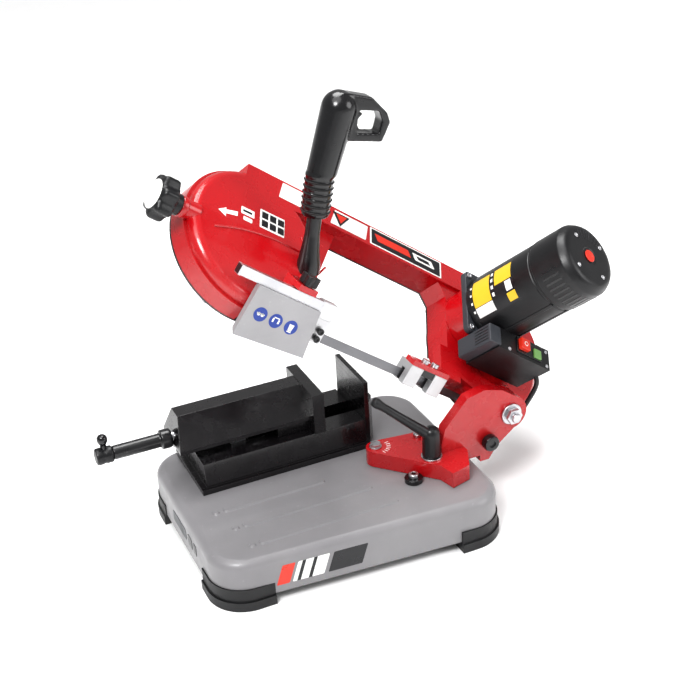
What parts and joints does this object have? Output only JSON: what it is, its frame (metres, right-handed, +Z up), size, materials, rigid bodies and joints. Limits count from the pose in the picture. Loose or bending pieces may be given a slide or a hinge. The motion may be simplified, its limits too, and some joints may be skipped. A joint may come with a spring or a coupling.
{
  "type": "horizontal band saw",
  "caption": "Small bench band saw: hinged, tilted saw head with motor, blade wheels and pistol handle over a mitre swivel and a sliding vise on a rounded tray base.",
  "frame": {"origin": "centre of the bench bolt holes' pattern and of the base's footprint, on the bench", "axes": "+X along the base towards the head's hinge, +Y to the back, +Z up; the head is raised to its stop"},
  "size_m": [0.707, 0.478, 0.6208],
  "materials": {
    "grey_paint": "warm grey paint, semi-gloss, on a light-alloy casting",
    "black_iron": "gloss black paint on cast iron",
    "black_steel": "gloss black paint",
    "red_paint": "gloss red paint on a light-alloy casting",
    "rubber": "matte black",
    "steel": "bright machined",
    "blade_steel": "dark spring steel",
    "wheel_iron": "turned, grey",
    "guard_sheet": "light grey sheet",
    "black_plastic": "fine texture, black",
    "red_plastic": "gloss red",
    "green_plastic": "gloss green"
  },
  "bodies": {
    "base": {"base_tray": "grey_paint", "foot_front_left": "rubber", "foot_front_right": "rubber", "foot_rear_left": "rubber", "foot_rear_right": "rubber", "foot_screws": "steel", "vise_bed": "black_iron", "vise_bolts": "steel", "fixed_jaw": "black_iron", "vise_nut": "steel", "cord_gland": "rubber", "swivel_pivot": "steel", "mitre_stop": "steel", "cord_tube": "rubber", "cord_coil": "rubber", "cord_plug": "rubber"},
    "vise_jaw": {"sliding_jaw": "black_iron", "jaw_keeper": "steel"},
    "vise_screw": {"vise_screw": "black_steel", "screw_crank": "black_plastic"},
    "swivel": {"swivel_bracket": "red_paint", "clamp_stud": "steel", "clamp_washer": "steel", "bracket_screw": "steel", "hinge_bolt": "steel", "hinge_washer": "steel", "hinge_spring": "steel", "lead_grommet": "rubber"},
    "clamp_lever": {"clamp_lever": "black_plastic"},
    "lock_knob": {"lock_knob": "black_plastic"},
    "head": {"head_frame": "red_paint", "wheel_cover": "black_steel", "head_screws": "steel", "gear_case": "red_paint", "blade": "blade_steel", "head_lead": "rubber", "rear_guide": "steel", "rear_pads": "steel", "motor_body": "black_plastic", "motor_cap": "black_plastic", "brush_cap": "red_plastic", "switch_box": "black_plastic", "handle_tube": "black_steel", "handle_grip": "black_plastic"},
    "drive": {"drive_wheel": "wheel_iron", "drive_gear": "steel"},
    "rotor": {"armature": "steel"},
    "idler_slide": {"tension_slide": "steel"},
    "idler": {"idler_wheel": "wheel_iron", "idler_bearing": "steel"},
    "tension": {"tension_screw": "steel", "tension_knob": "black_plastic"},
    "guide": {"guide_bar": "steel", "blade_guard": "guard_sheet", "front_guide": "steel", "front_pads": "steel"},
    "guide_knob": {"guide_knob": "black_plastic"},
    "start_button": {"start_button": "green_plastic"},
    "stop_button": {"stop_button": "red_plastic"},
    "trigger": {"trigger": "black_plastic"}
  },
  "joints": [
    {"name": "jaw_travel", "type": "slide", "parent": "base", "child": "vise_jaw", "axis": [1, 0, 0], "range_m": [-0.042, 0.061]},
    {"name": "vise_screw_turn", "type": "hinge", "parent": "vise_jaw", "child": "vise_screw", "pos_m": [-0.18, 0.083, 0.146], "axis": [1, 0, 0], "range_deg": [-2520, 3660]},
    {"name": "mitre_swivel", "type": "hinge", "parent": "base", "child": "swivel", "pos_m": [0.082, -0.012, 0.087], "axis": [0, 0, 1], "range_deg": [0, 38]},
    {"name": "clamp_lever_turn", "type": "hinge", "parent": "swivel", "child": "clamp_lever", "pos_m": [0.14, -0.074, 0.12], "axis": [0, 0, 1], "range_deg": [0, 60]},
    {"name": "lock_pin_pull", "type": "slide", "parent": "swivel", "child": "lock_knob", "axis": [0, -1, 0], "range_m": [0, 0.008], "stiffness_N_per_m": 400, "springref_m": -0.004},
    {"name": "head_hinge", "type": "hinge", "parent": "swivel", "child": "head", "pos_m": [0.268, -0.03, 0.132], "axis": [0, -1, 0], "range_deg": [0, 35], "stiffness_Nm_per_rad": 20, "springref_deg": -85.94},
    {"name": "drive_spin", "type": "hinge", "parent": "head", "child": "drive", "pos_m": [0.28447, 0.03294, 0.16939], "axis": [0.4557, -0.6428, 0.6158], "continuous": true},
    {"name": "rotor_spin", "type": "hinge", "parent": "head", "child": "rotor", "pos_m": [0.30097, -0.01065, 0.27406], "axis": [0.4557, -0.6428, 0.6158], "continuous": true},
    {"name": "tension_turn", "type": "hinge", "parent": "head", "child": "tension", "pos_m": [-0.15185, 0.02362, 0.50606], "axis": [0.8039, 0, -0.5948], "range_deg": [0, 960]},
    {"name": "tension_travel", "type": "slide", "parent": "head", "child": "idler_slide", "axis": [0.8039, 0, -0.5948], "range_m": [0, 0.004]},
    {"name": "idler_spin", "type": "hinge", "parent": "idler_slide", "child": "idler", "pos_m": [-0.06682, 0.03294, 0.42933], "axis": [0.4557, -0.6428, 0.6158], "continuous": true},
    {"name": "guide_travel", "type": "slide", "parent": "head", "child": "guide", "axis": [0.8039, 0, -0.5948], "range_m": [0, 0.07]},
    {"name": "guide_knob_turn", "type": "hinge", "parent": "head", "child": "guide_knob", "pos_m": [-0.01874, -0.056, 0.40015], "axis": [0.5948, 0, 0.8039], "range_deg": [0, 180]},
    {"name": "start_press", "type": "slide", "parent": "head", "child": "start_button", "axis": [-0.4557, 0.6428, -0.6158], "range_m": [0, 0.003], "stiffness_N_per_m": 400, "springref_m": -0.001},
    {"name": "stop_press", "type": "slide", "parent": "head", "child": "stop_button", "axis": [-0.4557, 0.6428, -0.6158], "range_m": [0, 0.003], "stiffness_N_per_m": 400, "springref_m": -0.001},
    {"name": "trigger_pull", "type": "hinge", "parent": "head", "child": "trigger", "pos_m": [0.07706, 0.005, 0.58875], "axis": [0, 1, 0], "range_deg": [0, 10], "stiffness_Nm_per_rad": 0.3, "springref_deg": -17.19}
  ],
  "couplings": [
    {"joint": "vise_screw_turn", "follows": "jaw_travel", "rad_per_m": 1047.2},
    {"joint": "tension_turn", "follows": "tension_travel", "rad_per_m": 4188.8},
    {"joint": "rotor_spin", "follows": "drive_spin", "ratio": -4},
    {"joint": "idler_spin", "follows": "drive_spin", "ratio": 1}
  ]
}
